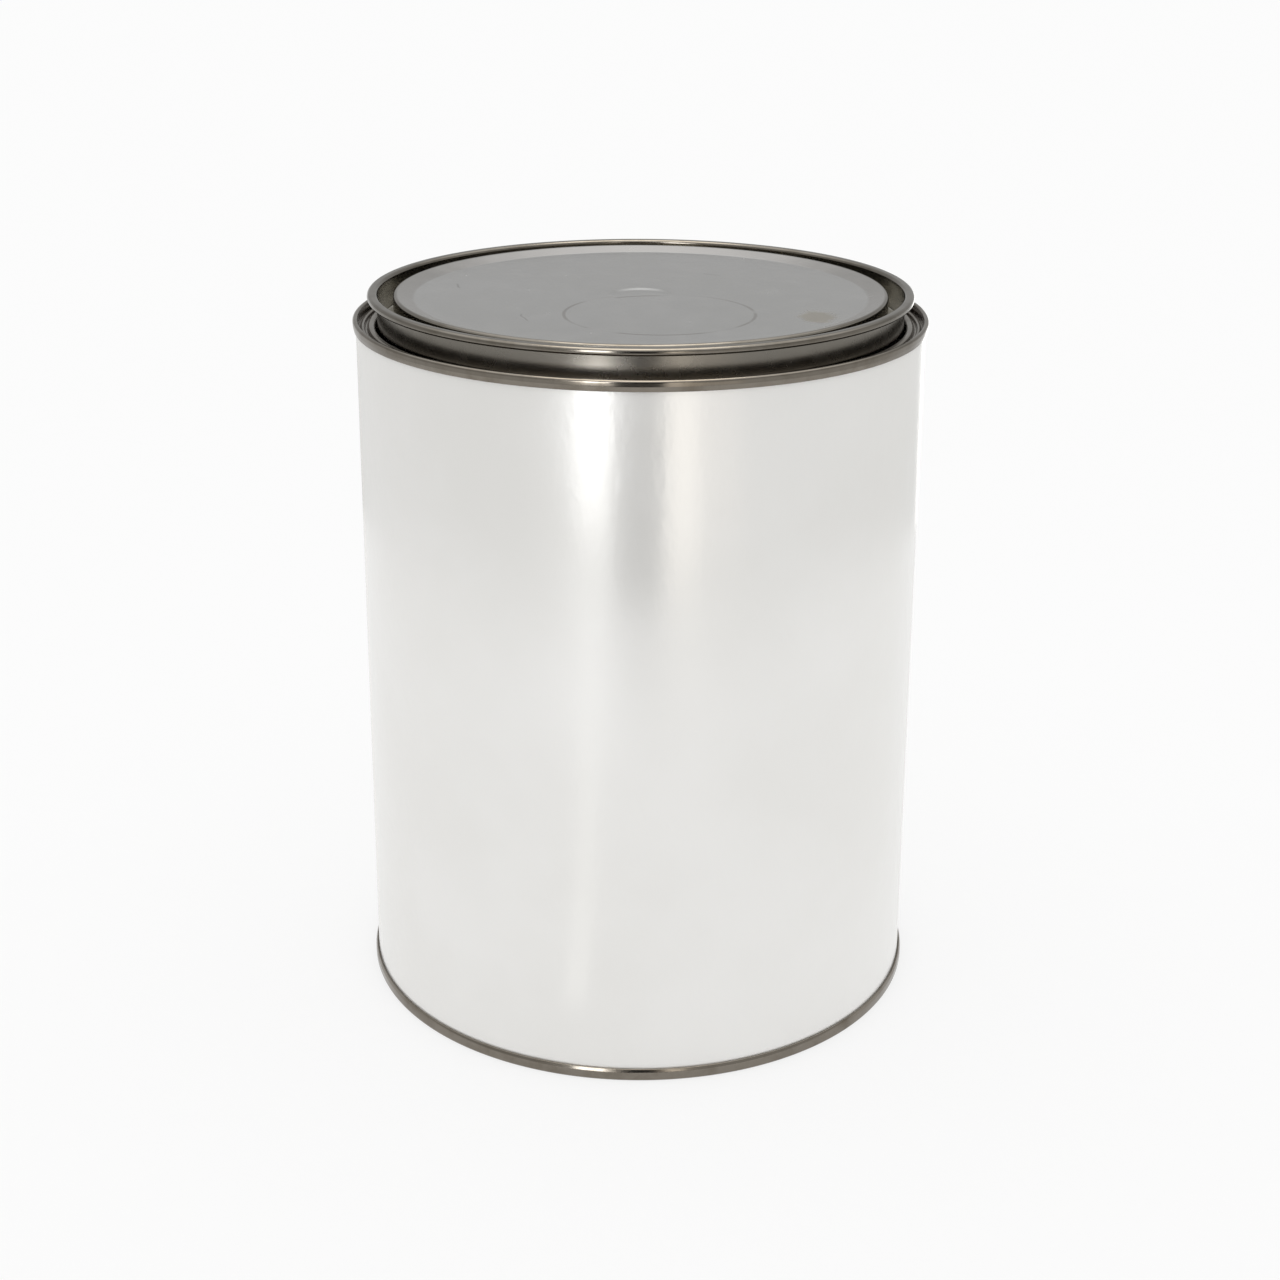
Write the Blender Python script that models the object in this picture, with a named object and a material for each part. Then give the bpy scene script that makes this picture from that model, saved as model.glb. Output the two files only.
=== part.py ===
"""Lever-lid tin for paint: a welded body, a bottom end, a lever ring and a plug lid.

Every piece is pressed or rolled from thin tinplate and is round about Z. The origin is
the centre of the foot, +Z is up, and lengths are in metres. The body's side weld is at
the back, at +Y. The lid stands loose in the mouth, LID_RAISED above its pressed-home
place, and it moves along Z.
"""

import math

import bmesh
import bpy
from mathutils import Matrix, Vector

# --- Overall sizes ---------------------------------------------------------------------
BODY_RADIUS = 0.0900          # outside of the plain body wall
CAN_HEIGHT = 0.2223           # foot to the top of the lever ring's seam

# --- Tinplate and the fits between plies -----------------------------------------------
PLATE = 0.00027               # thickness of every sheet
PLY_GAP = 0.00006             # clearance between neighbouring plies inside a seam
TOUCH_GAP = 0.0003            # clearance left where the pressed-home lid meets the ring

# --- Double seams: the end's edge and the body's edge hooked into each other -----------
TOP_SEAM_HEIGHT = 0.0034
BOTTOM_SEAM_HEIGHT = 0.0039
CROWN_RADIUS = 0.00045        # bend at each side of a seam's flat crown, mid-sheet
COMPOUND_THICKNESS = 0.0003   # sealing compound under the crown
COMPOUND_WIDTH = 0.0008
HOOK_END_GAP = 0.00005        # between a hook's cut edge and the bend that it points at

# --- Side weld of the body -------------------------------------------------------------
WELD_WIDTH = 0.0012
WELD_SLOPE = 0.0004           # run-out at each side of the raised lap
WELD_RISE = 0.00012
WELD_END_GAP = 0.0005         # plain wall between the lap and each seam

# --- Bottom end ------------------------------------------------------------------------
BOTTOM_RECESS = 0.0046        # foot to the underside of the panel's rim
BOTTOM_CORNER = 0.0010
BOTTOM_RIM_WIDTH = 0.0060     # flat rim outside the first step
BOTTOM_STEP = 0.0010          # the outer step goes up into the can
BOTTOM_STEP_RUN = 0.0016
BOTTOM_DISH_WIDTH = 0.0300    # between the outer step and the inner step
BOTTOM_DISH = 0.0006          # the inner step comes back down

# --- Lever ring ------------------------------------------------------------------------
THROAT_INSET = 0.0065         # body's outside to the bore of the throat
THROAT_DEPTH = 0.0085         # lip crest to the bottom of the throat
LIP_DROP = 0.0021             # seam top down to the lip crest
LIP_WIDTH = 0.0026            # throat wall to the lip's outer side
LIP_MOUTH_RADIUS = 0.00146    # lead-in of the throat, mid-sheet
LIP_BACK_RADIUS = 0.0008
GROOVE_DROP = 0.0037          # seam top down to the grooves
BEAD_DROP = 0.0024            # seam top down to the bead between the grooves
BEAD_BASE = 0.0015
BEAD_CREST = 0.0007
GROOVE_RADIUS = 0.0003
HEM_WIDTH = 0.0013            # hem turned outward under the throat, mid-sheet
HEM_HEIGHT = 0.0012

# --- Lid -------------------------------------------------------------------------------
LID_CLEARANCE = 0.0003        # plug to throat, radially
LID_RAISED = 0.00735          # how far the resting lid stands above pressed home
PLUG_DEPTH = 0.0083           # curl's underside to the underside of the plug
CURL_WIDTH = 0.0030           # plug's outside to the edge of the curl
CURL_HEIGHT = 0.0023
CURL_BEND = 0.00095           # mid-sheet
CURL_END_GAP = 0.0003         # between the curl's cut edge and the plug wall
CHANNEL_WIDTH = 0.00483       # clear width between plug wall and panel wall
CHANNEL_BEND = 0.0008         # mid-sheet
PANEL_DROP = 0.00075          # curl's top down to the panel's raised rim
PANEL_RIM_BEND = 0.0009       # mid-sheet
PANEL_RIM_WIDTH = 0.0012      # flat crest of the rim and its outer bend
PANEL_SLOPE_RUN = 0.0052      # from the rim's crest to the sunk field
PANEL_SLOPE_BEND = 0.0020
FIELD_DROP = 0.0016           # rim's crest down to the sunk field
DIMPLE_RADIUS = 0.0102        # round dimple in the middle of the field
DIMPLE_DEPTH = 0.0005
DIMPLE_SLOPE = 0.0020

# --- Mesh fineness ---------------------------------------------------------------------
SEGMENTS = 40                 # round each turned piece; a multiple of four
BEND_STEP = math.radians(46)  # largest turn of one flat in a bend
TIGHT_BEND = 0.0004           # a bend tighter than this is a single flat
SHARP_ANGLE = math.radians(50)

# --- Radii of the plies in a seam, mid-sheet, from the body wall outward and inward ----
PLY_PITCH = PLATE + PLY_GAP
WALL_R = BODY_RADIUS - PLATE / 2
COVER_HOOK_R = WALL_R + PLY_PITCH
BODY_HOOK_R = COVER_HOOK_R + PLY_PITCH
SEAM_WALL_R = BODY_HOOK_R + PLY_PITCH
CHUCK_R = WALL_R - PLY_PITCH
HOOK_BEND = PLY_PITCH         # a hook wraps one ply, so its bend spans two pitches
CROWN_MIDDLE_R = (SEAM_WALL_R + CHUCK_R) / 2

# --- Depths into the can, measured from a seam's outer edge, mid-sheet -----------------
CROWN_DEPTH = PLATE / 2
COMPOUND_DEPTH = PLATE + PLY_GAP + COMPOUND_THICKNESS / 2
BODY_BEND_DEPTH = PLATE + 2 * PLY_GAP + COMPOUND_THICKNESS + PLATE / 2
COVER_HOOK_TIP = BODY_BEND_DEPTH + HOOK_BEND + HOOK_END_GAP

# --- Lever ring and lid, derived -------------------------------------------------------
THROAT_BORE_R = BODY_RADIUS - THROAT_INSET
THROAT_R = THROAT_BORE_R + PLATE / 2
LIP_TOP_Z = CAN_HEIGHT - LIP_DROP
PLUG_OUTER_R = THROAT_BORE_R - LID_CLEARANCE
LID_Z = LIP_TOP_Z + TOUCH_GAP + LID_RAISED      # underside of the curl at rest


def at(edge_z, inward, depth):
    """Height of a point that lies depth inside the can from a seam's outer edge."""
    return edge_z + inward * depth


def bend_turns(spots):
    """How far the path turns at each inner corner, in radians."""
    return [(here - before).angle(after - here)
            for before, here, after in zip(spots, spots[1:], spots[2:])]


def bend_reaches(spots, turns, radii):
    """Length that each bend takes from its two sides; bends that don't fit shrink alike."""
    reaches = [0.0] + [r * math.tan(t / 2) for r, t in zip(radii[1:], turns)] + [0.0]
    shares = []
    for i in range(len(spots) - 1):
        wanted = reaches[i] + reaches[i + 1]
        side = (spots[i + 1] - spots[i]).length
        shares.append(min(1.0, side / wanted) if wanted else 1.0)
    return [reaches[i] * min(shares[i - 1], shares[i]) for i in range(1, len(spots) - 1)]


def bent_path(corners):
    """Mid-sheet path through corners (r, z, bend radius), each corner rounded by an arc."""
    spots = [Vector(corner[:2]) for corner in corners]
    turns = bend_turns(spots)
    reaches = bend_reaches(spots, turns, [corner[2] for corner in corners])
    points = [spots[0]]
    for i, (turn, reach) in enumerate(zip(turns, reaches), start=1):
        if reach == 0:
            points.append(spots[i])
            continue
        back = (spots[i - 1] - spots[i]).normalized()
        ahead = (spots[i + 1] - spots[i]).normalized()
        radius = reach / math.tan(turn / 2)
        centre = spots[i] + (back + ahead).normalized() * radius / math.cos(turn / 2)
        start = spots[i] + back * reach - centre
        side = 1 if back.x * ahead.y - back.y * ahead.x < 0 else -1
        steps = 1 if radius < TIGHT_BEND else math.ceil(turn / BEND_STEP)
        for step in range(steps + 1):
            points.append(centre + Matrix.Rotation(side * turn * step / steps, 2) @ start)
    points.append(spots[-1])
    return [points[0]] + [b for a, b in zip(points, points[1:]) if (b - a).length > 1e-7]


def sheet_outline(path, thickness):
    """Both faces of a sheet whose middle follows path, as one run of (r, z) points."""
    left, right = [], []
    for i, point in enumerate(path):
        into = (point - path[i - 1]).normalized() if i else (path[1] - path[0]).normalized()
        out = (path[i + 1] - point).normalized() if i + 1 < len(path) else into
        normal = Vector((-(into + out).y, (into + out).x)).normalized()
        stretch = thickness / 2 / normal.dot(Vector((-into.y, into.x)))
        left.append(point + normal * stretch)
        right.append(point - normal * stretch)
    return left + right[::-1]


def oval_outline(centre_r, centre_z, width, height, sides):
    """An oval cross-section for a ring that isn't sheet."""
    angles = [2 * math.pi * i / sides for i in range(sides)]
    return [Vector((centre_r + width / 2 * math.cos(a), centre_z + height / 2 * math.sin(a)))
            for a in angles]


def turned(name, outline, material, origin_z=0.0, on_axis=False):
    """A solid of revolution about Z. An outline on the axis starts and ends there."""
    bm = bmesh.new()
    verts = [bm.verts.new((p.x, 0.0, p.y - origin_z)) for p in outline]
    pairs = list(zip(verts, verts[1:]))
    if not on_axis:
        pairs.append((verts[-1], verts[0]))
    edges = [bm.edges.new(pair) for pair in pairs]
    bmesh.ops.spin(bm, geom=verts + edges, cent=(0, 0, 0), axis=(0, 0, 1),
                   angle=2 * math.pi, steps=SEGMENTS, use_merge=True)
    bmesh.ops.remove_doubles(bm, verts=bm.verts, dist=1e-6)
    bmesh.ops.recalc_face_normals(bm, faces=bm.faces)
    return finished(name, bm, material, origin_z)


def finished(name, bm, material, origin_z):
    """Turn a bmesh into a shaded object at its height on the axis."""
    mesh = bpy.data.meshes.new(name)
    bm.to_mesh(mesh)
    bm.free()
    mesh.shade_smooth()
    mesh.set_sharp_from_angle(angle=SHARP_ANGLE)
    mesh.materials.append(material)
    obj = bpy.data.objects.new(name, mesh)
    obj.location = (0.0, 0.0, origin_z)
    bpy.context.scene.collection.objects.link(obj)
    return obj


def surface(name, colour, roughness, metallic):
    """One Principled material."""
    material = bpy.data.materials.new(name)
    material.use_nodes = True
    shader = material.node_tree.nodes["Principled BSDF"]
    shader.inputs["Base Color"].default_value = (*colour, 1.0)
    shader.inputs["Roughness"].default_value = roughness
    shader.inputs["Metallic"].default_value = metallic
    return material


def seamed_edge(edge_z, inward, seam_height):
    """Corners of an end's edge: its cover hook, the seam's outer wall and the crown."""
    fold = seam_height - PLATE / 2
    return [
        (COVER_HOOK_R, at(edge_z, inward, COVER_HOOK_TIP), 0),
        (COVER_HOOK_R, at(edge_z, inward, fold), HOOK_BEND),
        (SEAM_WALL_R, at(edge_z, inward, fold), HOOK_BEND),
        (SEAM_WALL_R, at(edge_z, inward, CROWN_DEPTH), CROWN_RADIUS),
        (CHUCK_R, at(edge_z, inward, CROWN_DEPTH), CROWN_RADIUS),
    ]


def body_hook(edge_z, inward, seam_height):
    """Corners of the body's edge from its cut end back to the wall."""
    tip = seam_height - PLATE / 2 - HOOK_BEND - HOOK_END_GAP
    return [
        (BODY_HOOK_R, at(edge_z, inward, tip), 0),
        (BODY_HOOK_R, at(edge_z, inward, BODY_BEND_DEPTH), HOOK_BEND),
        (WALL_R, at(edge_z, inward, BODY_BEND_DEPTH), HOOK_BEND),
    ]


def raise_weld(body, low, high):
    """Cut a strip along the back of the wall and lift its outside into the welded lap."""
    bm = bmesh.new()
    bm.from_mesh(body.data)
    half = WELD_WIDTH / 2
    for x in (-half - WELD_SLOPE, -half, half, half + WELD_SLOPE):
        back = [f for f in bm.faces if f.calc_center_median().y > 0]
        rim = {e for f in back for e in f.edges} | {v for f in back for v in f.verts}
        bmesh.ops.bisect_plane(bm, geom=back + list(rim), dist=1e-7,
                               plane_co=(x, 0, 0), plane_no=(1, 0, 0))
    outside = WALL_R * math.cos(math.pi / SEGMENTS)
    for v in bm.verts:
        on_strip = abs(v.co.x) < half + WELD_SLOPE / 2 and v.co.y > 0
        on_wall = low < v.co.z < high and v.co.xy.length > outside
        if on_strip and on_wall:
            v.co.y += WELD_RISE
    bm.to_mesh(body.data)
    bm.free()
    body.data.shade_smooth()
    body.data.set_sharp_from_angle(angle=SHARP_ANGLE)


def body_shell(material):
    """The rolled and welded wall, with a hook at each end."""
    low = BOTTOM_SEAM_HEIGHT + WELD_END_GAP
    high = CAN_HEIGHT - TOP_SEAM_HEIGHT - WELD_END_GAP
    levels = (low, low + WELD_SLOPE, high - WELD_SLOPE, high)
    corners = body_hook(0.0, 1, BOTTOM_SEAM_HEIGHT)
    corners += [(WALL_R, z, 0) for z in levels]
    corners += reversed(body_hook(CAN_HEIGHT, -1, TOP_SEAM_HEIGHT))
    body = turned("body_shell", sheet_outline(bent_path(corners), PLATE), material)
    raise_weld(body, low + WELD_SLOPE / 2, high - WELD_SLOPE / 2)
    return body


def bottom_end(material):
    """The pressed bottom: seamed edge, recessed rim and two shallow steps."""
    rim_z = BOTTOM_RECESS + PLATE / 2
    step_r = CHUCK_R - BOTTOM_RIM_WIDTH
    dish_r = step_r - BOTTOM_STEP_RUN - BOTTOM_DISH_WIDTH
    high_z = rim_z + BOTTOM_STEP
    low_z = high_z - BOTTOM_DISH
    corners = seamed_edge(0.0, 1, BOTTOM_SEAM_HEIGHT)
    corners += [
        (CHUCK_R, rim_z, BOTTOM_CORNER),
        (step_r, rim_z, BOTTOM_CORNER),
        (step_r - BOTTOM_STEP_RUN, high_z, BOTTOM_CORNER),
        (dish_r, high_z, BOTTOM_CORNER),
        (dish_r - BOTTOM_STEP_RUN, low_z, BOTTOM_CORNER),
        (0.0, low_z, 0),
    ]
    outline = sheet_outline(bent_path(corners), PLATE)
    middle = len(outline) // 2
    return turned("bottom_end", outline[middle:] + outline[:middle], material, on_axis=True)


def lever_ring(material):
    """The ring that is seamed to the body: grooves, bead, lip, throat and hem."""
    groove_z = CAN_HEIGHT - GROOVE_DROP - PLATE / 2
    bead_z = CAN_HEIGHT - BEAD_DROP - PLATE / 2
    lip_z = LIP_TOP_Z - PLATE / 2
    hem_z = LIP_TOP_Z - THROAT_DEPTH + PLATE / 2
    lip_back_r = THROAT_R + LIP_WIDTH
    bead_r = (CHUCK_R + lip_back_r) / 2
    corners = seamed_edge(CAN_HEIGHT, -1, TOP_SEAM_HEIGHT)
    corners += [
        (CHUCK_R, groove_z, GROOVE_RADIUS),
        (bead_r + BEAD_BASE / 2, groove_z, GROOVE_RADIUS),
        (bead_r + BEAD_CREST / 2, bead_z, GROOVE_RADIUS),
        (bead_r - BEAD_CREST / 2, bead_z, GROOVE_RADIUS),
        (bead_r - BEAD_BASE / 2, groove_z, GROOVE_RADIUS),
        (lip_back_r, groove_z, GROOVE_RADIUS),
        (lip_back_r, lip_z, LIP_BACK_RADIUS),
        (THROAT_R, lip_z, LIP_MOUTH_RADIUS),
        (THROAT_R, hem_z, HEM_WIDTH / 2),
        (THROAT_R + HEM_WIDTH, hem_z, HEM_WIDTH / 2),
        (THROAT_R + HEM_WIDTH, hem_z + HEM_HEIGHT, 0),
    ]
    return turned("lever_ring", sheet_outline(bent_path(corners), PLATE), material)


def lever_lid(material):
    """The plug lid: dimpled field, raised rim, channel and outer curl."""
    plug_r = PLUG_OUTER_R - PLATE / 2
    curl_r = PLUG_OUTER_R + CURL_WIDTH - PLATE / 2
    curl_low = LID_Z + PLATE / 2
    curl_high = LID_Z + CURL_HEIGHT - PLATE / 2
    floor_z = LID_Z - PLUG_DEPTH + PLATE / 2
    panel_r = PLUG_OUTER_R - PLATE - CHANNEL_WIDTH - PLATE / 2
    rim_z = LID_Z + CURL_HEIGHT - PANEL_DROP - PLATE / 2
    field_z = rim_z - FIELD_DROP
    crest_r = panel_r - PANEL_RIM_WIDTH
    corners = [
        (0.0, field_z - DIMPLE_DEPTH, 0),
        (DIMPLE_RADIUS - DIMPLE_SLOPE, field_z - DIMPLE_DEPTH, DIMPLE_SLOPE),
        (DIMPLE_RADIUS, field_z, DIMPLE_SLOPE),
        (crest_r - PANEL_SLOPE_RUN, field_z, PANEL_SLOPE_BEND),
        (crest_r, rim_z, PANEL_SLOPE_BEND),
        (panel_r, rim_z, PANEL_RIM_BEND),
        (panel_r, floor_z, CHANNEL_BEND),
        (plug_r, floor_z, CHANNEL_BEND),
        (plug_r, curl_high, CURL_BEND),
        (curl_r, curl_high, CURL_BEND),
        (curl_r, curl_low, CURL_BEND),
        (PLUG_OUTER_R + CURL_END_GAP, curl_low, 0),
    ]
    outline = sheet_outline(bent_path(corners), PLATE)
    return turned("lever_lid", outline, material, origin_z=LID_Z, on_axis=True)


def seam_compound(name, edge_z, inward, material):
    """The ring of sealing compound that fills the space under a seam's crown."""
    outline = oval_outline(CROWN_MIDDLE_R, at(edge_z, inward, COMPOUND_DEPTH),
                           COMPOUND_WIDTH, COMPOUND_THICKNESS, sides=6)
    return turned(name, outline, material)


def main():
    for obj in list(bpy.data.objects):
        bpy.data.objects.remove(obj, do_unlink=True)

    body_plate = surface("body_tinplate", (0.86, 0.85, 0.83), 0.22, 0.33)
    end_plate = surface("end_tinplate", (0.19, 0.17, 0.14), 0.18, 1.0)
    lid_plate = surface("lid_tinplate", (0.39, 0.39, 0.385), 0.24, 1.0)
    compound = surface("seam_compound", (0.30, 0.31, 0.30), 0.70, 0.0)

    body_shell(body_plate)
    bottom_end(end_plate)
    seam_compound("bottom_seam_compound", 0.0, 1, compound)
    lever_ring(end_plate)
    seam_compound("ring_seam_compound", CAN_HEIGHT, -1, compound)
    lever_lid(lid_plate)


main()
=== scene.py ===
"""Looks of the lever-lid tin: fine turned surfaces, tinplate materials, stage and camera.

Every piece is turned again about Z at a fineness that shows no flats, on the sizes that
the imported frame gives. Lengths are in metres, Z is up, and the side weld is at +Y.
"""

import math

import bpy
from mathutils import Matrix, Vector, noise


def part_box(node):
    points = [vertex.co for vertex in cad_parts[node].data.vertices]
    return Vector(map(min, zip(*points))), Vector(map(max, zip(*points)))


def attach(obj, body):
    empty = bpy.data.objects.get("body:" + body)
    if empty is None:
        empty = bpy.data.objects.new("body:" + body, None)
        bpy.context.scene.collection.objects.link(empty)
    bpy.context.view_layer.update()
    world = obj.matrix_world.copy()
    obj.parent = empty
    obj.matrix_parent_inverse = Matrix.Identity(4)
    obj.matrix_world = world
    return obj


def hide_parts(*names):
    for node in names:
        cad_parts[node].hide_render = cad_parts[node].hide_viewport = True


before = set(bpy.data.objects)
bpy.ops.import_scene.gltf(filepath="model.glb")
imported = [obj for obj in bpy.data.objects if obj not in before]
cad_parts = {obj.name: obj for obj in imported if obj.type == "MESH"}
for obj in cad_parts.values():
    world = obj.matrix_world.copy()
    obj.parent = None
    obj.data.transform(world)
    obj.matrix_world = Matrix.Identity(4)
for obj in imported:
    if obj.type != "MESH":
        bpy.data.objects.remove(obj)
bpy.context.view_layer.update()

# --- Sizes read from the frame ---------------------------------------------------------
RING_LOW, RING_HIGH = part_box("lever_ring")
LID_LOW, LID_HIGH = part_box("lever_lid")
SEAM_OUTER_R = RING_HIGH.x
CAN_TOP_Z = RING_HIGH.z
CURL_OUTER_R = LID_HIGH.x
LID_TOP_Z = LID_HIGH.z
PLUG_LOW_Z = LID_LOW.z
HEM_LOW_Z = RING_LOW.z

# --- Tinplate and seams ----------------------------------------------------------------
PLATE = 0.00027               # thickness of every sheet
PLY_GAP = 0.00006             # between neighbouring plies inside a seam
PLY_PITCH = PLATE + PLY_GAP
TOP_SEAM_HEIGHT = 0.0034
BOTTOM_SEAM_HEIGHT = 0.0039
CROWN_BEND = 0.00070          # seam's outer wall into its crown, mid-sheet
CHUCK_BEND = 0.00045          # crown into the chuck wall, mid-sheet
TOP_SEAM_LEAN = 0.00010       # how far the seam's outer wall leans in
BOTTOM_SEAM_LEAN = 0.0
TOP_SHOULDER = 0.00140        # height of the slope that turns under the body's hook
BOTTOM_SHOULDER = 0.00095
SHOULDER_BEND = 0.0010
FOLD_WIDTH = 0.00028          # cover hook's fold, mid-sheet
HOOK_LEAN = 0.00005           # how far the body's hook leans in, clear of the shoulder
HOOK_END_GAP = 0.00035        # between a hook's cut edge and the bend that it points at
COMPOUND_THICKNESS = 0.0003
COMPOUND_WIDTH = 0.0008
COMPOUND_SIDES = 16

SEAM_WALL_R = SEAM_OUTER_R - PLATE / 2
BODY_HOOK_R = SEAM_WALL_R - PLY_PITCH
COVER_HOOK_R = BODY_HOOK_R - PLY_PITCH
WALL_R = COVER_HOOK_R - PLY_PITCH
CHUCK_R = WALL_R - PLY_PITCH
BODY_BEND_DEPTH = PLATE + 2 * PLY_GAP + COMPOUND_THICKNESS + PLATE / 2

# --- Bottom end ------------------------------------------------------------------------
BOTTOM_RECESS = 0.0046
BOTTOM_RIM_WIDTH = 0.0060
BOTTOM_STEP = 0.0010
BOTTOM_STEP_RUN = 0.0016
BOTTOM_DISH_WIDTH = 0.0300
BOTTOM_DISH = 0.0006
BOTTOM_CORNER = 0.0010        # bends, mid-sheet
BOTTOM_STEP_BEND = 0.0012

# --- Lever ring ------------------------------------------------------------------------
CURL_WIDTH = 0.0030
LID_CLEARANCE = 0.0003
PLUG_OUTER_R = CURL_OUTER_R - CURL_WIDTH
THROAT_R = PLUG_OUTER_R + LID_CLEARANCE + PLATE / 2
LIP_DROP = 0.0021
LIP_WIDTH = 0.0026
LIP_MOUTH_RADIUS = 0.00146
GROOVE_DROP = 0.0037
BEAD_DROP = 0.0024
BEAD_BASE = 0.0015
BEAD_CREST = 0.0007
GROOVE_BEND = 0.00035         # bends, mid-sheet
BEAD_BEND = 0.00045
LIP_FOOT_BEND = 0.00045
LIP_BACK_BEND = 0.0009
HEM_WIDTH = 0.0013
HEM_HEIGHT = 0.0012

# --- Lid -------------------------------------------------------------------------------
CURL_HEIGHT = 0.0023
CURL_BEND = 0.00095           # bends, mid-sheet
CURL_END_GAP = 0.0003         # between the curl's cut edge and the plug wall
CHANNEL_WIDTH = 0.00483
CHANNEL_BEND = 0.0008
PANEL_R = PLUG_OUTER_R - PLATE - CHANNEL_WIDTH     # outside of the panel's wall
PANEL_DROP = 0.00075
PANEL_RIM_WIDTH = 0.0012
PANEL_RIM_BEND = 0.0009
PANEL_CREST_BEND = 0.0025
PANEL_SLOPE_RUN = 0.0052
PANEL_SLOPE_BEND = 0.0030
FIELD_DROP = 0.0016
DIMPLE_RADIUS = 0.0102
DIMPLE_DEPTH = 0.0005
DIMPLE_SLOPE = 0.0020
DIMPLE_BEND = 0.0040

# --- Weld ------------------------------------------------------------------------------
WELD_WIDTH = 0.0012
WELD_SLOPE = 0.0004
WELD_RISE = 0.00012
WELD_END_GAP = 0.0005         # plain wall between the lap and each seam
WELD_END_SLOPE = 0.0004

# --- Unevenness of the pressed sheets --------------------------------------------------
WALL_WAVE = 0.00005
WALL_WAVE_AROUND = 1.4
WALL_WAVE_UP = 9.0
WALL_WAVE_FADE = 0.012        # it dies away this near each seam
FIELD_WAVE = 0.00008
FIELD_WAVE_SCALE = 22.0
FIELD_WAVE_REACH = 0.070

# --- Fineness --------------------------------------------------------------------------
SEGMENTS = 240                # round each turned piece
BEND_STEP = math.radians(12)  # largest turn of one flat in a bend
SHARP_ANGLE = math.radians(40)
WALL_STEP = 0.004             # longest straight face up the body's wall
FIELD_STEP = 0.006            # and across the lid
SAME_POINT = 1e-7


# === Turned sheet ======================================================================

def bend_reaches(spots, turns, radii):
    """Length that each bend takes from its two sides; bends that don't fit shrink alike."""
    reaches = [0.0] + [r * math.tan(t / 2) for r, t in zip(radii[1:], turns)] + [0.0]
    shares = []
    for i in range(len(spots) - 1):
        wanted = reaches[i] + reaches[i + 1]
        side = (spots[i + 1] - spots[i]).length
        shares.append(min(1.0, side / wanted) if wanted else 1.0)
    return [reaches[i] * min(shares[i - 1], shares[i]) for i in range(1, len(spots) - 1)]


def bent_path(corners):
    """Mid-sheet path through corners (r, z, bend radius), each corner rounded by an arc."""
    spots = [Vector(corner[:2]) for corner in corners]
    turns = [(b - a).angle(c - b) for a, b, c in zip(spots, spots[1:], spots[2:])]
    reaches = bend_reaches(spots, turns, [corner[2] for corner in corners])
    points = [spots[0]]
    for i, (turn, reach) in enumerate(zip(turns, reaches), start=1):
        if reach == 0:
            points.append(spots[i])
            continue
        back = (spots[i - 1] - spots[i]).normalized()
        ahead = (spots[i + 1] - spots[i]).normalized()
        radius = reach / math.tan(turn / 2)
        centre = spots[i] + (back + ahead).normalized() * radius / math.cos(turn / 2)
        start = spots[i] + back * reach - centre
        side = 1 if back.x * ahead.y - back.y * ahead.x < 0 else -1
        steps = max(2, math.ceil(turn / BEND_STEP))
        for step in range(steps + 1):
            points.append(centre + Matrix.Rotation(side * turn * step / steps, 2) @ start)
    points.append(spots[-1])
    return [points[0]] + [b for a, b in zip(points, points[1:]) if (b - a).length > SAME_POINT]


def sheet_outline(path, thickness):
    """Both faces of a sheet whose middle follows path, as one run of (r, z) points."""
    left, right = [], []
    for i, point in enumerate(path):
        into = (point - path[i - 1]).normalized() if i else (path[1] - path[0]).normalized()
        out = (path[i + 1] - point).normalized() if i + 1 < len(path) else into
        normal = Vector((-(into + out).y, (into + out).x)).normalized()
        stretch = thickness / 2 / normal.dot(Vector((-into.y, into.x)))
        left.append(point + normal * stretch)
        right.append(point - normal * stretch)
    return left + right[::-1]


def spread(path, longest):
    """The same path with its long straight stretches cut into even steps."""
    points = [path[0]]
    for a, b in zip(path, path[1:]):
        steps = max(1, math.ceil((b - a).length / longest))
        points += [a.lerp(b, i / steps) for i in range(1, steps + 1)]
    return points


def turned(name, outline, body, on_axis=False, shape=None, angles=None):
    """A solid of revolution that rides on a body. shape(r, angle, z) may nudge a point."""
    angles = angles or [2 * math.pi * i / SEGMENTS for i in range(SEGMENTS)]
    verts, rows = [], []
    for point in outline:
        if on_axis and abs(point.x) < SAME_POINT:
            rows.append([len(verts)] * len(angles))
            verts.append((0.0, 0.0, point.y))
            continue
        rows.append(list(range(len(verts), len(verts) + len(angles))))
        for angle in angles:
            r, z = shape(point.x, angle, point.y) if shape else (point.x, point.y)
            verts.append((r * math.cos(angle), r * math.sin(angle), z))
    faces = []
    pairs = list(zip(rows, rows[1:]))
    if not on_axis:
        pairs.append((rows[-1], rows[0]))
    for low, high in pairs:
        for i in range(len(angles)):
            j = (i + 1) % len(angles)
            face = [low[i], low[j], high[j], high[i]]
            faces.append(sorted(set(face), key=face.index))
    mesh = bpy.data.meshes.new(name)
    mesh.from_pydata(verts, [], faces)
    if signed_volume(mesh) < 0:
        mesh.flip_normals()
    mesh.shade_smooth()
    mesh.set_sharp_from_angle(angle=SHARP_ANGLE)
    obj = bpy.data.objects.new(name, mesh)
    bpy.context.scene.collection.objects.link(obj)
    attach(obj, body)
    return obj


def signed_volume(mesh):
    """Volume by the mesh's face order; negative when its faces point inward."""
    total = 0.0
    for face in mesh.polygons:
        a, b, *rest = [mesh.vertices[v].co for v in face.vertices]
        for c in rest:
            total += a.dot(b.cross(c))
            b = c
    return total


# === Profiles ==========================================================================

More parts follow.
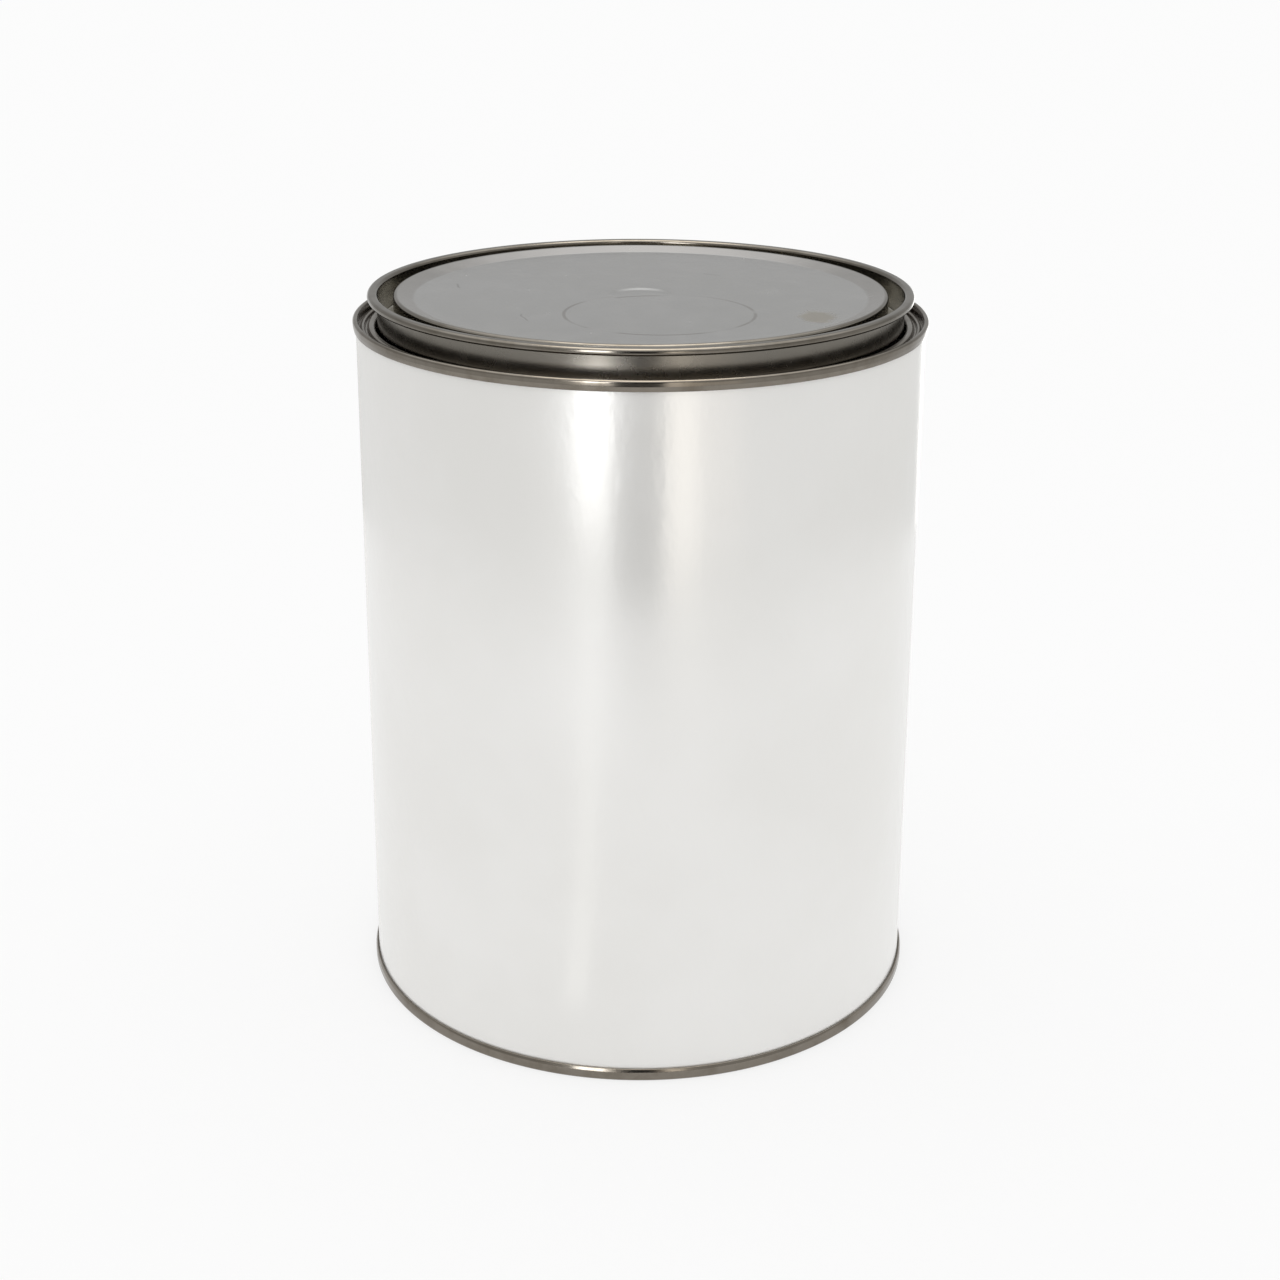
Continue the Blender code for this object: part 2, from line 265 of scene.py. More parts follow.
def seamed_edge(edge_z, inward, seam_height, lean, shoulder):
    """Corners of an end's edge: its cover hook, the seam's outer wall and the crown.

    The seaming roll leaves the outer wall leaning in a little, with a sloped shoulder
    where it turns under the body's hook.
    """
    fold = edge_z + inward * (seam_height - PLATE / 2)
    tip = edge_z + inward * (BODY_BEND_DEPTH + PLY_PITCH + HOOK_END_GAP)
    crown = edge_z + inward * PLATE / 2
    return [
        (COVER_HOOK_R, tip, 0),
        (COVER_HOOK_R, fold, FOLD_WIDTH / 2),
        (COVER_HOOK_R + FOLD_WIDTH, fold, FOLD_WIDTH / 2),
        (SEAM_WALL_R - lean, fold - inward * shoulder, SHOULDER_BEND),
        (SEAM_WALL_R, crown, CROWN_BEND),
        (CHUCK_R, crown, CHUCK_BEND),
    ]


def body_hook(edge_z, inward, seam_height, shoulder):
    """Corners of the body's edge from its cut end back to the wall."""
    tip = edge_z + inward * (seam_height - PLATE / 2 - shoulder - HOOK_END_GAP)
    bend = edge_z + inward * BODY_BEND_DEPTH
    return [
        (BODY_HOOK_R - HOOK_LEAN, tip, 0),
        (BODY_HOOK_R, bend, PLY_PITCH / 2),
        (WALL_R, bend, PLY_PITCH / 2),
    ]


def weld_angles():
    """Even angles round the body, with closer ones across the weld at the back."""
    half = math.pi / 2
    marks = [0.0, WELD_WIDTH / 2, WELD_WIDTH / 2 + WELD_SLOPE]
    near = [half + sign * mark / WALL_R for mark in marks for sign in (1, -1)]
    even = [2 * math.pi * i / SEGMENTS for i in range(SEGMENTS)]
    clear = marks[-1] / WALL_R + 0.2 * 2 * math.pi / SEGMENTS
    return sorted(set([a for a in even if abs(a - half) > clear] + near))


def wall_shape(r, angle, z):
    """The weld's raised lap, and the slight unevenness of a rolled wall."""
    low = BOTTOM_SEAM_HEIGHT + WELD_END_GAP
    high = CAN_TOP_Z - TOP_SEAM_HEIGHT - WELD_END_GAP
    if not low < z < high or r > WALL_R + PLATE:
        return r, z
    from_end = min(z - low, high - z)
    wave = noise.noise(Vector((math.cos(angle) * WALL_WAVE_AROUND,
                               math.sin(angle) * WALL_WAVE_AROUND, z * WALL_WAVE_UP)))
    r += WALL_WAVE * min(1.0, from_end / WALL_WAVE_FADE) * wave
    off = abs(angle - math.pi / 2) * WALL_R
    lap = max(0.0, min(1.0, (WELD_WIDTH / 2 + WELD_SLOPE - off) / WELD_SLOPE))
    if r > WALL_R:
        r += WELD_RISE * lap * min(1.0, from_end / WELD_END_SLOPE)
    return r, z


def make_body():
    corners = body_hook(0.0, 1, BOTTOM_SEAM_HEIGHT, BOTTOM_SHOULDER)
    corners += reversed(body_hook(CAN_TOP_Z, -1, TOP_SEAM_HEIGHT, TOP_SHOULDER))
    outline = sheet_outline(spread(bent_path(corners), WALL_STEP), PLATE)
    body = turned("body_wall", outline, "can",
                  shape=wall_shape, angles=weld_angles())
    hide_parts("body_shell")
    return body


def make_bottom():
    rim_z = BOTTOM_RECESS + PLATE / 2
    step_r = CHUCK_R - BOTTOM_RIM_WIDTH
    dish_r = step_r - BOTTOM_STEP_RUN - BOTTOM_DISH_WIDTH
    high_z = rim_z + BOTTOM_STEP
    corners = seamed_edge(0.0, 1, BOTTOM_SEAM_HEIGHT, BOTTOM_SEAM_LEAN, BOTTOM_SHOULDER)
    corners += [
        (CHUCK_R, rim_z, BOTTOM_CORNER),
        (step_r, rim_z, BOTTOM_STEP_BEND),
        (step_r - BOTTOM_STEP_RUN, high_z, BOTTOM_STEP_BEND),
        (dish_r, high_z, BOTTOM_STEP_BEND),
        (dish_r - BOTTOM_STEP_RUN, high_z - BOTTOM_DISH, BOTTOM_STEP_BEND),
        (0.0, high_z - BOTTOM_DISH, 0),
    ]
    outline = sheet_outline(bent_path(corners), PLATE)
    middle = len(outline) // 2
    bottom = turned("bottom_panel", outline[middle:] + outline[:middle], "can",
                    on_axis=True)
    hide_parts("bottom_end")
    return bottom


def make_ring():
    groove_z = CAN_TOP_Z - GROOVE_DROP - PLATE / 2
    bead_z = CAN_TOP_Z - BEAD_DROP - PLATE / 2
    lip_z = CAN_TOP_Z - LIP_DROP - PLATE / 2
    hem_z = HEM_LOW_Z + PLATE / 2
    lip_back_r = THROAT_R + LIP_WIDTH
    bead_r = (CHUCK_R + lip_back_r) / 2
    corners = seamed_edge(CAN_TOP_Z, -1, TOP_SEAM_HEIGHT, TOP_SEAM_LEAN, TOP_SHOULDER)
    corners += [
        (CHUCK_R, groove_z, GROOVE_BEND),
        (bead_r + BEAD_BASE / 2, groove_z, GROOVE_BEND),
        (bead_r + BEAD_CREST / 2, bead_z, BEAD_BEND),
        (bead_r - BEAD_CREST / 2, bead_z, BEAD_BEND),
        (bead_r - BEAD_BASE / 2, groove_z, GROOVE_BEND),
        (lip_back_r, groove_z, LIP_FOOT_BEND),
        (lip_back_r, lip_z, LIP_BACK_BEND),
        (THROAT_R, lip_z, LIP_MOUTH_RADIUS),
        (THROAT_R, hem_z, HEM_WIDTH / 2),
        (THROAT_R + HEM_WIDTH, hem_z, HEM_WIDTH / 2),
        (THROAT_R + HEM_WIDTH, hem_z + HEM_HEIGHT, 0),
    ]
    ring = turned("ring", sheet_outline(bent_path(corners), PLATE), "can")
    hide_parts("lever_ring")
    return ring


def lid_shape(r, angle, z):
    """The pressed field isn't quite flat."""
    reach = max(0.0, 1.0 - r / FIELD_WAVE_REACH)
    wave = noise.noise(Vector((r * math.cos(angle) * FIELD_WAVE_SCALE,
                               r * math.sin(angle) * FIELD_WAVE_SCALE, 3.0)))
    return r, z + FIELD_WAVE * wave * min(1.0, 3 * reach)


def make_lid():
    curl_low = LID_TOP_Z - CURL_HEIGHT + PLATE / 2
    curl_high = LID_TOP_Z - PLATE / 2
    floor_z = PLUG_LOW_Z + PLATE / 2
    plug_r = PLUG_OUTER_R - PLATE / 2
    curl_r = CURL_OUTER_R - PLATE / 2
    panel_r = PANEL_R - PLATE / 2
    rim_z = LID_TOP_Z - PANEL_DROP - PLATE / 2
    field_z = rim_z - FIELD_DROP
    crest_r = panel_r - PANEL_RIM_WIDTH
    corners = [
        (0.0, field_z - DIMPLE_DEPTH, 0),
        (DIMPLE_RADIUS - DIMPLE_SLOPE, field_z - DIMPLE_DEPTH, DIMPLE_BEND),
        (DIMPLE_RADIUS, field_z, DIMPLE_BEND),
        (crest_r - PANEL_SLOPE_RUN, field_z, PANEL_SLOPE_BEND),
        (crest_r, rim_z, PANEL_CREST_BEND),
        (panel_r, rim_z, PANEL_RIM_BEND),
        (panel_r, floor_z, CHANNEL_BEND),
        (plug_r, floor_z, CHANNEL_BEND),
        (plug_r, curl_high, CURL_BEND),
        (curl_r, curl_high, CURL_BEND),
        (curl_r, curl_low, CURL_BEND),
        (PLUG_OUTER_R + CURL_END_GAP, curl_low, 0),
    ]
    outline = sheet_outline(spread(bent_path(corners), FIELD_STEP), PLATE)
    lid = turned("lid", outline, "lid", on_axis=True, shape=lid_shape)
    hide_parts("lever_lid")
    return lid


def make_compound(name, node, edge_z, inward):
    """The ring of sealing compound under a seam's crown."""
    centre_r = (SEAM_WALL_R + CHUCK_R) / 2
    centre_z = edge_z + inward * (PLATE + PLY_GAP + COMPOUND_THICKNESS / 2)
    turns = [2 * math.pi * i / COMPOUND_SIDES for i in range(COMPOUND_SIDES)]
    outline = [Vector((centre_r + COMPOUND_WIDTH / 2 * math.cos(turn),
                       centre_z + COMPOUND_THICKNESS / 2 * math.sin(turn)))
               for turn in turns]
    compound = turned(name, outline, "can")
    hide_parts(node)
    return compound


# === Materials =========================================================================

# Linear colours, each as the pair that a material's mottling runs between.
BODY_TONES = (0.880, 0.872, 0.850, 1), (0.910, 0.903, 0.885, 1)
END_TONES = (0.215, 0.193, 0.164, 1), (0.165, 0.144, 0.117, 1)
# painted shade: the lid's rim is the same sheet as its field, painted warm and dark for the
# dark surroundings that it reflects
RIM_PAINTED_SHADE_TONES = (0.200, 0.183, 0.157, 1), (0.155, 0.139, 0.115, 1)
FIELD_TONES = (0.488, 0.488, 0.480, 1), (0.506, 0.506, 0.501, 1)
COMPOUND_TONES = (0.24, 0.25, 0.24, 1), (0.34, 0.35, 0.33, 1)
WELD_TINT = (0.70, 0.665, 0.61, 1)
WELD_LINE = (0.50, 0.48, 0.46, 1)
END_PATCH = (0.250, 0.232, 0.206, 1)
# painted shade: a darker, warmer band on the panel's slope, standing in for its dimmer
# reflection
SLOPE_PAINTED_SHADE = (0.330, 0.308, 0.285, 1)
# painted light: a lighter tone in the lid's channel, standing in for light on its floor and
# lower walls
CHANNEL_PAINTED_LIGHT = (0.46, 0.440, 0.390, 1)
PLUG_WALL_TONE = (0.228, 0.213, 0.188, 1)
STACK_TONE = (0.22, 0.205, 0.185, 1)
SMUDGE_TONE = (0.300, 0.270, 0.215, 1)
SCRATCH_TONE = (0.17, 0.16, 0.15, 1)

BODY_METALLIC = 0.33          # satin plate: between a mirror and paint
WELD_TINT_REACH = 0.0042      # heat tint at each side of the weld
WELD_LINE_REACH = 0.0012

# Marks on the lid's field, in plan: the faint ring of something set down on it, a smudge,
# and scratches, each from a start to an end and with a width.
STACK_AT = (0.0057, -0.0293)
STACK_RADIUS = 0.0291
SMUDGE_AT = (0.0535, -0.0330)
SMUDGE_REACH = 0.0165
SCRATCHES = (
    ((-0.060, 0.016), (-0.0575, 0.007), 0.0005),
    ((-0.036, -0.030), (-0.034, -0.041), 0.0004),
    ((0.020, 0.034), (0.027, 0.030), 0.0004),
)
SCRATCH_WAVER = 0.0015


class Nodes:
    """Short calls for building one material's nodes."""

    def __init__(self, name):
        self.material = bpy.data.materials.new(name)
        self.material.use_nodes = True
        self.tree = self.material.node_tree
        self.shader = self.tree.nodes["Principled BSDF"]
        self.place = self.tree.nodes.new("ShaderNodeTexCoord").outputs["Object"]

    def add(self, kind, inputs=None, **settings):
        node = self.tree.nodes.new(kind)
        for key, value in settings.items():
            setattr(node, key, value)
        for key, value in (inputs or {}).items():
            self.put(node.inputs[key], value)
        return node

    def put(self, socket, value):
        if isinstance(value, bpy.types.NodeSocket):
            self.tree.links.new(value, socket)
        else:
            socket.default_value = value

    def stretch(self, scale):
        """Object coordinates multiplied by scale along each axis."""
        return self.vector("MULTIPLY", self.place, scale)

    def noise(self, scale, detail=3.0, roughness=0.5, vector=None):
        inputs = {"Vector": vector or self.place, "Scale": scale,
                  "Detail": detail, "Roughness": roughness}
        return self.add("ShaderNodeTexNoise", inputs).outputs["Fac"]

    def math(self, operation, a, b=0.5, c=0.5):
        node = self.add("ShaderNodeMath", {0: a, 1: b, 2: c}, operation=operation)
        return node.outputs[0]

    def fade(self, value, low, high, to_low=0.0, to_high=1.0):
        """Smoothly map value from low..high to to_low..to_high."""
        inputs = {"Value": value, "From Min": low, "From Max": high,
                  "To Min": to_low, "To Max": to_high}
        node = self.add("ShaderNodeMapRange", inputs, interpolation_type="SMOOTHSTEP")
        return node.outputs["Result"]

    def mix(self, share, a, b):
        node = self.add("ShaderNodeMix", data_type="RGBA")
        self.put(node.inputs[0], share)
        self.put(node.inputs[6], a)
        self.put(node.inputs[7], b)
        return node.outputs[2]

    def axes(self):
        return self.add("ShaderNodeSeparateXYZ", {0: self.place}).outputs[:3]

    def vector(self, operation, a, b=(0.0, 0.0, 0.0), c=(0.0, 0.0, 0.0)):
        node = self.add("ShaderNodeVectorMath", {0: a, 1: b, 2: c}, operation=operation)
        scalar = operation in ("LENGTH", "DOT_PRODUCT")
        return node.outputs["Value" if scalar else "Vector"]

    def radius(self, x=0.0, y=0.0):
        """Distance in plan from the point (x, y)."""
        moved = self.vector("SUBTRACT", self.place, (x, y, 0.0))
        return self.vector("LENGTH", self.vector("MULTIPLY", moved, (1.0, 1.0, 0.0)))

    def bump(self, height, strength, distance, under=None):
        inputs = {"Height": height, "Strength": strength, "Distance": distance}
        node = self.add("ShaderNodeBump", inputs)
        if under:
            self.put(node.inputs["Normal"], under)
        return node.outputs["Normal"]

    def finish(self, colour, roughness, metallic, normal):
        self.put(self.shader.inputs["Base Color"], colour)
        self.put(self.shader.inputs["Roughness"], roughness)
        self.put(self.shader.inputs["Metallic"], metallic)
        self.put(self.shader.inputs["Normal"], normal)
        return self.material


def body_tinplate():
    """Satin tinplate: stone grain, soft clouds and a heat-tinted weld at the back."""
    n = Nodes("body_tinplate")
    x, y, _ = n.axes()
    clouds = n.noise(16.0, 3.0, 0.55)
    grain = n.noise(520.0, 1.0, 0.5, n.stretch((1.0, 1.0, 0.55)))
    plain = n.mix(n.fade(clouds, 0.35, 0.68), *BODY_TONES)
    off = n.math("ABSOLUTE", x)
    behind = n.fade(y, 0.0, 0.01)
    tint = n.math("MULTIPLY", n.fade(off, WELD_TINT_REACH, WELD_LINE_REACH), behind)
    line = n.math("MULTIPLY", n.fade(off, WELD_LINE_REACH, WELD_LINE_REACH / 3), behind)
    colour = n.mix(tint, plain, WELD_TINT)
    colour = n.mix(line, colour, WELD_LINE)
    roughness = n.fade(clouds, 0.3, 0.7, 0.20, 0.24)
    return n.finish(colour, roughness, BODY_METALLIC, n.bump(grain, 0.8, 0.00005))


def pressed_normal(n, r, z):
    """Drawing lines that run round the axis, over the plate's own soft unevenness."""
    rings = n.add("ShaderNodeCombineXYZ", {0: r, 1: z}).outputs[0]
    drawn = n.noise(600.0, 0.0, 0.5, rings)
    uneven = n.noise(60.0, 0.0, 0.5)
    return n.bump(uneven, 0.25, 0.00004, n.bump(drawn, 0.08, 0.00002))


def end_tinplate():
    """Bare bright tinplate of the ends: warm, darker than the body, lightly stained."""
    n = Nodes("end_tinplate")
    _, _, z = n.axes()
    mottle = n.noise(110.0, 4.0, 0.6)
    patches = n.noise(26.0, 3.0, 0.5)
    shade = n.mix(n.fade(mottle, 0.40, 0.72), *END_TONES)
    shade = n.mix(n.fade(patches, 0.50, 0.75, 0.0, 0.5), shade, END_PATCH)
    rough = n.fade(mottle, 0.3, 0.8, 0.12, 0.24)
    return n.finish(shade, rough, 1.0, pressed_normal(n, n.radius(), z))


def scratch(n, start, end, width):
    """1 along a straight scratch between two points in plan, 0 elsewhere."""
    run = Vector(end) - Vector(start)
    middle = (Vector(start) + Vector(end)) / 2
    moved = n.vector("SUBTRACT", n.place, (middle.x, middle.y, 0.0))
    waver = n.add("ShaderNodeTexNoise", {"Vector": n.place, "Scale": 130.0, "Detail": 2.0})
    swing = (2 * SCRATCH_WAVER, 2 * SCRATCH_WAVER, 0.0)
    moved = n.vector("MULTIPLY_ADD", waver.outputs["Color"], swing, moved)
    moved = n.vector("SUBTRACT", moved, (SCRATCH_WAVER, SCRATCH_WAVER, 0.0))
    along = run.normalized()
    parts = []
    for axis, low, high in (((along.x, along.y, 0.0), run.length / 2, run.length / 3),
                            ((-along.y, along.x, 0.0), width, width / 3)):
        reach = n.vector("DOT_PRODUCT", moved, axis)
        parts.append(n.fade(n.math("ABSOLUTE", reach), low, high))
    return n.math("MULTIPLY", *parts)


def handling_marks(n):
    """1 where the lid's field is scratched, 0 elsewhere."""
    marks, *others = [scratch(n, *spots) for spots in SCRATCHES]
    for mark in others:
        marks = n.math("MAXIMUM", marks, mark)
    return marks


def smudge_mark(n):
    """How strongly the ragged smudge shows."""
    spot = n.vector("SUBTRACT", n.place, (*SMUDGE_AT, 0.0))
    spot = n.vector("LENGTH", n.vector("MULTIPLY", spot, (1.5, 1.0, 0.0)))
    ragged = n.math("MULTIPLY_ADD", n.noise(170.0, 3.0, 0.6), 0.012, spot)
    return n.math("MULTIPLY", n.fade(ragged, SMUDGE_REACH, SMUDGE_REACH - 0.005), 0.7)


def stack_mark(n):
    """How strongly the ring of what was set down on the lid shows."""
    off = n.math("SUBTRACT", n.radius(*STACK_AT), STACK_RADIUS)
    line = n.fade(n.math("ABSOLUTE", off), 0.0008, 0.0002)
    return n.math("MULTIPLY", line, n.fade(n.noise(60.0, 3.0), 0.40, 0.58, 0.05, 0.60))


def lid_tinplate():
    """The lid: a cool grey pressed field with handling marks, and a warm rim painted darker as
    shade.
    """
    n = Nodes("lid_tinplate")
    _, _, z = n.axes()
    r = n.radius()
    mottle = n.noise(110.0, 4.0, 0.6)
    patches = n.noise(20.0, 3.0, 0.5)
    sheet_inside = PLUG_OUTER_R - PLATE * 0.7
    sheet_outside = PLUG_OUTER_R - PLATE * 0.3
    slope_edge = PANEL_R - PANEL_RIM_WIDTH - PANEL_SLOPE_RUN
    crest_edge = PANEL_R - PANEL_RIM_WIDTH

    field = n.mix(n.fade(patches, 0.38, 0.70), *FIELD_TONES)
    # Painted shade: the field's slope ring is darkened and warmed by half, standing in for the
    # dimmer reflection it shows.
    slope = n.math("MULTIPLY", n.fade(r, slope_edge - 0.0006, slope_edge + 0.0008), 0.5)
    field = n.mix(slope, field, SLOPE_PAINTED_SHADE)
    # Painted shade: outside the panel's crest the sheet is painted warm and dark, standing in
    # for the dark surroundings that the rim reflects.
    rim = n.mix(n.fade(mottle, 0.40, 0.72), *RIM_PAINTED_SHADE_TONES)
    shade = n.mix(n.fade(r, crest_edge - 0.0004, crest_edge + 0.0006), field, rim)
    # Painted light: the channel's floor and lower walls are lightened, standing in for the
    # light that reaches into this recess.
    channel = n.math("MULTIPLY", n.fade(r, PANEL_R - 0.0004, PANEL_R),
                     n.fade(r, sheet_outside, sheet_inside))
    channel = n.math("MULTIPLY", channel, n.fade(z, LID_TOP_Z - 0.0008, LID_TOP_Z - 0.0020))
    shade = n.mix(channel, shade, CHANNEL_PAINTED_LIGHT)

    smudge = smudge_mark(n)
    shade = n.mix(stack_mark(n), shade, STACK_TONE)
    shade = n.mix(smudge, shade, SMUDGE_TONE)
    shade = n.mix(n.math("MULTIPLY", handling_marks(n), 0.45), shade, SCRATCH_TONE)

    plug_wall = n.math("MULTIPLY", n.fade(r, sheet_inside, sheet_outside),
                       n.fade(z, LID_TOP_Z - 0.0018, LID_TOP_Z - 0.0026))
    shade = n.mix(plug_wall, shade, PLUG_WALL_TONE)
    rough = n.fade(mottle, 0.3, 0.8, 0.13, 0.20)
    rough = n.math("MULTIPLY_ADD", n.fade(r, PANEL_R, PANEL_R - 0.002), 0.08, rough)
    rough = n.math("MULTIPLY_ADD", plug_wall, 0.10, rough)
    rough = n.math("MULTIPLY_ADD", smudge, 0.15, rough)
    return n.finish(shade, rough, 1.0, pressed_normal(n, r, z))


def compound_rubber():
    """Cured sealing compound."""
    n = Nodes("seam_compound")
    mottle = n.noise(900.0, 3.0)
    rough = n.fade(mottle, 0.3, 0.7, 0.6, 0.8)
    return n.finish(n.mix(mottle, *COMPOUND_TONES), rough, 0.0, n.bump(mottle, 0.4, 0.00002))


def dress(obj, material):
    obj.data.materials.clear()
    obj.data.materials.append(material)


# === Stage =============================================================================

WHITE = (1, 1, 0.99, 1)
GREY = (1, 1, 0.98, 1)
WARM = (1, 0.95, 0.88, 1)

# Cards that lie on the floor, each a little above those that it covers: name, the arc that
# it spans in degrees from straight ahead, its nearest and farthest reach, colour, strength
# and height.
FLOOR_CARDS = (
    ("card_room", (-180, 180), (0.52, 6.0), WHITE, 0.74, 0.0008),
    ("card_bright", (-23.5, -10.5), (0.685, 0.90), WHITE, 2.75, 0.0012),
    ("card_bright_far", (-21.8, -12.5), (0.90, 3.0), WHITE, 2.75, 0.0012),
    ("card_dark", (-9, 8), (0.535, 3.0), GREY, 0.13, 0.0012),
    ("card_dark_end", (-9.5, 5.5), (0.515, 0.600), GREY, 0.0, 0.0014),
    ("card_warm", (9.5, 21), (0.57, 3.0), WARM, 1.7, 0.0012),
    ("card_warm_edge", (21, 37), (0.63, 3.0), (1, 0.96, 0.91, 1), 0.98, 0.0012),
    ("card_streak", (-20.5, -14), (0.13, 0.47), WHITE, 1.18, 0.0012),
    ("card_back_bright", (150, 166), (0.50, 3.0), WHITE, 2.2, 0.0012),
    ("card_back_dark", (166, 180), (0.50, 3.0), GREY, 0.15, 0.0012),
)
# Upright cards: name, arc, lowest and highest edge, colour, strength.
WALL_CARDS = (
    ("card_window", (-23.5, -11.5), (0.0, 0.9), (0.97, 0.98, 1, 1), 8.0),
    ("card_shade", (-11.5, 10), (0.0, 0.9), (1, 1, 1, 1), 0.03),
    ("card_lamp", (10, 17), (0.1, 0.6), WARM, 2.6),
    ("card_room_left", (-110, -23.5), (0.0, 0.7), (1, 0.99, 0.97, 1), 0.55),
    ("card_room_right", (17, 110), (0.0, 0.7), (1, 0.99, 0.97, 1), 0.65),
)
WALL_CARD_RADIUS = 1.3
OVERHEAD_HEIGHT = 1.3
OVERHEAD_RADIUS = 0.45
ARC_STEPS = 48

FLOOR_HALF = 40.0
FLOOR_TONES = (0.200, 0.200, 0.200, 1), (0.196, 0.196, 0.196, 1)
FLOOR_GLOW = 0.75
BACKDROP_RADIUS = 9.0
BACKDROP_GLOW = 0.965

ROOM_FRONT = (0.27, 0.265, 0.255, 1)
ROOM_BACK = (0.50, 0.50, 0.495, 1)
ROOM_DOME = (1.60, 1.60, 1.60, 1)

# The camera looks along +Y from in front; the shift only frames the tin.
CAMERA_LENS = 57.69           # millimetres, on a sensor of 36
CAMERA_SHIFT = -0.108
CAMERA_PLACE = (0.0, -0.6405, 0.3605)
CAMERA_DOWN = math.radians(17.488)
CAMERA_ROLL = 0.0041


def make_floor():
    """A pale sweep that glows a little, so the tin's shadow on it stays faint."""
    half = FLOOR_HALF
    mesh = bpy.data.meshes.new("floor")
    corners = [(-half, -half, 0), (half, -half, 0), (half, half, 0), (-half, half, 0)]
    mesh.from_pydata(corners, [], [(0, 1, 2, 3)])
    floor = bpy.data.objects.new("floor", mesh)
    bpy.context.scene.collection.objects.link(floor)
    n = Nodes("floor")
    grain = n.noise(60.0, 3.0)
    shade = n.mix(grain, *FLOOR_TONES)
    n.shader.inputs["Specular IOR Level"].default_value = 0.0
    n.shader.inputs["Emission Color"].default_value = (1, 1, 1, 1)
    n.shader.inputs["Emission Strength"].default_value = FLOOR_GLOW
    dress(floor, n.finish(shade, 0.9, 0.0, n.bump(grain, 0.05, 0.0002)))


def make_panel(name, points, faces, colour, strength):
    """A glowing part of the studio."""
    mesh = bpy.data.meshes.new(name)
    mesh.from_pydata(points, [], faces)
    panel = bpy.data.objects.new(name, mesh)
    bpy.context.scene.collection.objects.link(panel)
    material = bpy.data.materials.new(name)
    material.use_nodes = True
    shader = material.node_tree.nodes["Principled BSDF"]
    shader.inputs["Base Color"].default_value = (0.0, 0.0, 0.0, 1)
    shader.inputs["Roughness"].default_value = 1.0
    shader.inputs["Specular IOR Level"].default_value = 0.0
    shader.inputs["Emission Color"].default_value = colour
    shader.inputs["Emission Strength"].default_value = strength
    dress(panel, material)
    panel.visible_diffuse = False
    panel.visible_shadow = False
    panel.visible_transmission = False
    return panel


def make_backdrop():
    """A pale wall far round the floor, seen by the camera but not in the tin's gloss."""
    low, high = (arc((0, 360), BACKDROP_RADIUS, z)[:-1] for z in (-0.1, 16.0))
    count = len(low)
    faces = [(i, (i + 1) % count, (i + 1) % count + count, i + count) for i in range(count)]
    backdrop = make_panel("backdrop", low + high, faces, (1, 1, 1, 1), BACKDROP_GLOW)
    backdrop.visible_glossy = False


def make_card(name, points, colour, strength):
    """A card round the tin, seen only in its gloss."""
    card = make_panel(name, points, [tuple(range(len(points)))], colour, strength)
    card.visible_camera = False


def arc(angles, radius, z):
    """Points on a level arc about the tin; angles in degrees from straight ahead."""
    low, high = (math.radians(a - 90) for a in angles)
    turns = [low + (high - low) * i / ARC_STEPS for i in range(ARC_STEPS + 1)]
    return [(radius * math.cos(a), radius * math.sin(a), z) for a in turns]


def flat_card(name, angles, reach, colour, strength, height):
    """A card that lies on the floor between two distances from the axis."""
    near, far = (arc(angles, radius, height) for radius in reach)
    make_card(name, near + far[::-1], colour, strength)


def wall_card(name, angles, heights, colour, strength):
    """An upright card, curved about the tin."""
    low, high = (arc(angles, WALL_CARD_RADIUS, z) for z in heights)
    make_card(name, low + high[::-1], colour, strength)


def make_cards():
    """The cards that give the tin its highlights and dark strips."""
    for card in FLOOR_CARDS:
        flat_card(*card)
    for card in WALL_CARDS:
        wall_card(*card)
    overhead = arc((0, 360), OVERHEAD_RADIUS, OVERHEAD_HEIGHT)[:-1]
    make_card("card_overhead", overhead, (1, 0.96, 0.90, 1), 4.4)


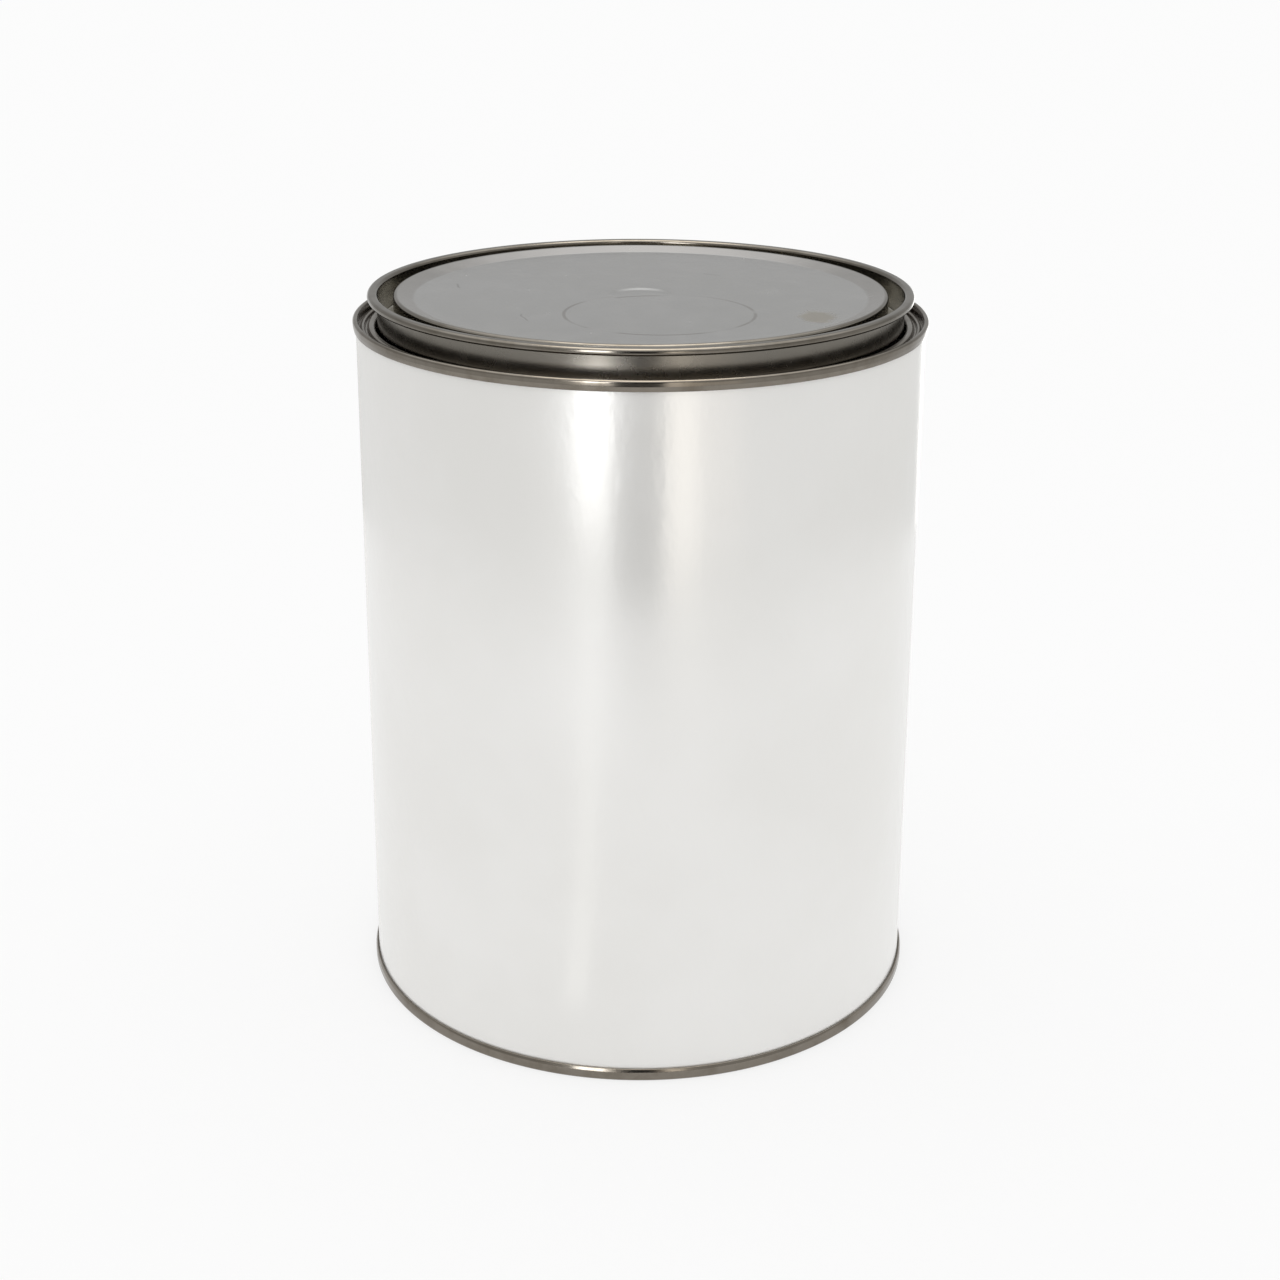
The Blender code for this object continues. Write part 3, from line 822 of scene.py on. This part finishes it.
def make_world():
    """A soft room: bright overhead, mid grey behind the tin, dim behind the camera."""
    world = bpy.data.worlds.new("studio")
    bpy.context.scene.world = world
    world.use_nodes = True
    tree = world.node_tree
    tree.nodes.clear()
    add = tree.nodes.new
    link = tree.links.new
    split = add("ShaderNodeSeparateXYZ")
    link(add("ShaderNodeTexCoord").outputs["Generated"], split.inputs[0])

    def blend(axis, start, end, under, over):
        """Smoothly from under to over, as the direction's part along axis rises."""
        rise = add("ShaderNodeMapRange")
        rise.interpolation_type = "SMOOTHSTEP"
        rise.inputs["From Min"].default_value = start
        rise.inputs["From Max"].default_value = end
        link(split.outputs[axis], rise.inputs["Value"])
        mix = add("ShaderNodeMix")
        mix.data_type = "RGBA"
        link(rise.outputs[0], mix.inputs[0])
        mix.inputs[7].default_value = over
        if isinstance(under, bpy.types.NodeSocket):
            link(under, mix.inputs[6])
        else:
            mix.inputs[6].default_value = under
        return mix.outputs[2]

    around = blend(1, -0.55, 0.35, ROOM_FRONT, ROOM_BACK)
    background = add("ShaderNodeBackground")
    link(blend(2, 0.40, 0.85, around, ROOM_DOME), background.inputs["Color"])
    link(background.outputs[0], add("ShaderNodeOutputWorld").inputs[0])


def make_camera():
    """The viewpoint: a little above the lid, looking down at the tin."""
    data = bpy.data.cameras.new("camera")
    data.sensor_width = 36.0
    data.lens = CAMERA_LENS
    data.shift_y = CAMERA_SHIFT
    data.clip_start = 0.01
    data.clip_end = 200.0
    camera = bpy.data.objects.new("camera", data)
    camera.location = CAMERA_PLACE
    turn = Matrix.Rotation(math.pi / 2 - CAMERA_DOWN, 4, "X")
    roll = Matrix.Rotation(CAMERA_ROLL, 4, "Z")
    camera.rotation_euler = (turn @ roll).to_euler()
    bpy.context.scene.collection.objects.link(camera)
    bpy.context.scene.camera = camera


# === Assembly ==========================================================================

def main():
    dress(make_body(), body_tinplate())
    ends = end_tinplate()
    dress(make_bottom(), ends)
    dress(make_ring(), ends)
    dress(make_lid(), lid_tinplate())
    rubber = compound_rubber()
    dress(make_compound("bottom_compound", "bottom_seam_compound", 0.0, 1), rubber)
    dress(make_compound("ring_compound", "ring_seam_compound", CAN_TOP_Z, -1), rubber)

    make_floor()
    make_backdrop()
    make_cards()
    make_world()
    make_camera()
    bpy.context.scene.view_settings.view_transform = "Standard"


main()
